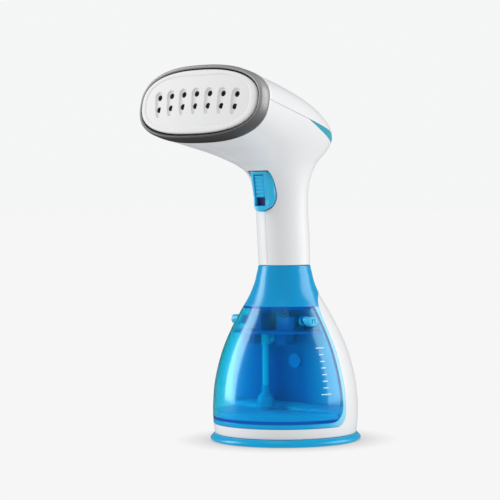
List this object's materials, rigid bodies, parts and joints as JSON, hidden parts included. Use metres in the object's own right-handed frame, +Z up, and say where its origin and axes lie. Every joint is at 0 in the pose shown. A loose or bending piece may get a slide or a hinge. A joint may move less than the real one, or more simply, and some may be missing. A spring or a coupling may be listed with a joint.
{
  "type": "hand-held garment steamer",
  "caption": "Upright hand-held garment steamer: oval steam plate on a curved grip with a trigger, over a round base that holds a translucent water tank.",
  "frame": {"origin": "centre of the base's underside, on the surface it stands on", "axes": "+Z up along the grip, -Y towards the steam plate's front, symmetric about X = 0"},
  "size_m": [0.1206, 0.1681, 0.2865],
  "materials": {
    "white_plastic": "glossy moulded, bluish white",
    "tank_blue": "clear deep blue",
    "frame_blue": "translucent mid blue",
    "ring_blue": "glossy cyan blue",
    "trigger_blue": "translucent cyan blue",
    "lens_blue": "translucent teal",
    "dark_silver": "satin metallised",
    "plate_metal": "satin bead-blasted with a bright rim",
    "cast_aluminium": "die cast",
    "black_rubber": "matt",
    "clear_tube": "translucent silicone",
    "steel": "zinc plated",
    "dark_plastic": "fine grain",
    "grey_plastic": "plain",
    "green_board": "solder resist",
    "led_lens": "diffused"
  },
  "bodies": {
    "base": {"foot_ring": "ring_blue", "bottom_cover": "grey_plastic", "base_screw_1": "steel", "base_screw_2": "steel", "base_screw_3": "steel", "base_screw_4": "steel", "rear_housing": "white_plastic", "tank_frame": "frame_blue", "partition_wall": "frame_blue", "water_pump": "dark_plastic", "pump_bracket": "grey_plastic", "inlet_coupling": "black_rubber", "outlet_hose": "clear_tube", "control_board": "green_board", "indicator_led": "led_lens", "terminal_block": "grey_plastic", "cord_gland": "dark_plastic", "shell_right": "white_plastic", "shell_left": "white_plastic", "head_top_cover": "white_plastic", "rear_lens": "lens_blue", "bezel_ring": "dark_silver", "plate_gasket": "black_rubber", "steam_plate": "plate_metal", "heater_block": "cast_aluminium", "heating_element": "steel", "heater_cover": "cast_aluminium", "thermostat": "dark_plastic", "thermal_fuse": "grey_plastic", "head_screw_left": "steel", "head_screw_right": "steel", "trigger_pin": "steel", "trigger_spring": "steel", "micro_switch": "dark_plastic", "trigger_bracket": "grey_plastic"},
    "tank": {"tank_shell": "tank_blue", "tank_back": "tank_blue", "latch_tray": "tank_blue", "tube_connector": "clear_tube", "suction_tube": "clear_tube", "filter_weight": "trigger_blue", "latch_spring_left": "steel", "latch_spring_right": "steel"},
    "latch_left": {"tank_latch_left": "trigger_blue"},
    "latch_right": {"tank_latch_right": "trigger_blue"},
    "plug": {"filler_plug": "clear_tube"},
    "trigger": {"trigger": "trigger_blue"},
    "lock": {"trigger_lock": "trigger_blue"}
  },
  "joints": [
    {"name": "tank_slide", "type": "slide", "parent": "base", "child": "tank", "axis": [0, -1, 0], "range_m": [0, 0.12]},
    {"name": "latch_left_press", "type": "slide", "parent": "tank", "child": "latch_left", "axis": [1, 0, 0], "range_m": [0, 0.003], "stiffness_N_per_m": 500},
    {"name": "latch_right_press", "type": "slide", "parent": "tank", "child": "latch_right", "axis": [-1, 0, 0], "range_m": [0, 0.003], "stiffness_N_per_m": 500},
    {"name": "plug_pull", "type": "slide", "parent": "tank", "child": "plug", "axis": [0, 1, 0], "range_m": [0, 0.008]},
    {"name": "trigger_press", "type": "hinge", "parent": "base", "child": "trigger", "pos_m": [0, -0.0215, 0.203], "axis": [1, 0, 0], "range_deg": [0, 6], "stiffness_Nm_per_rad": 0.6},
    {"name": "lock_shift", "type": "slide", "parent": "trigger", "child": "lock", "axis": [0, 0.1289, -0.9917], "range_m": [0, 0.006]}
  ]
}
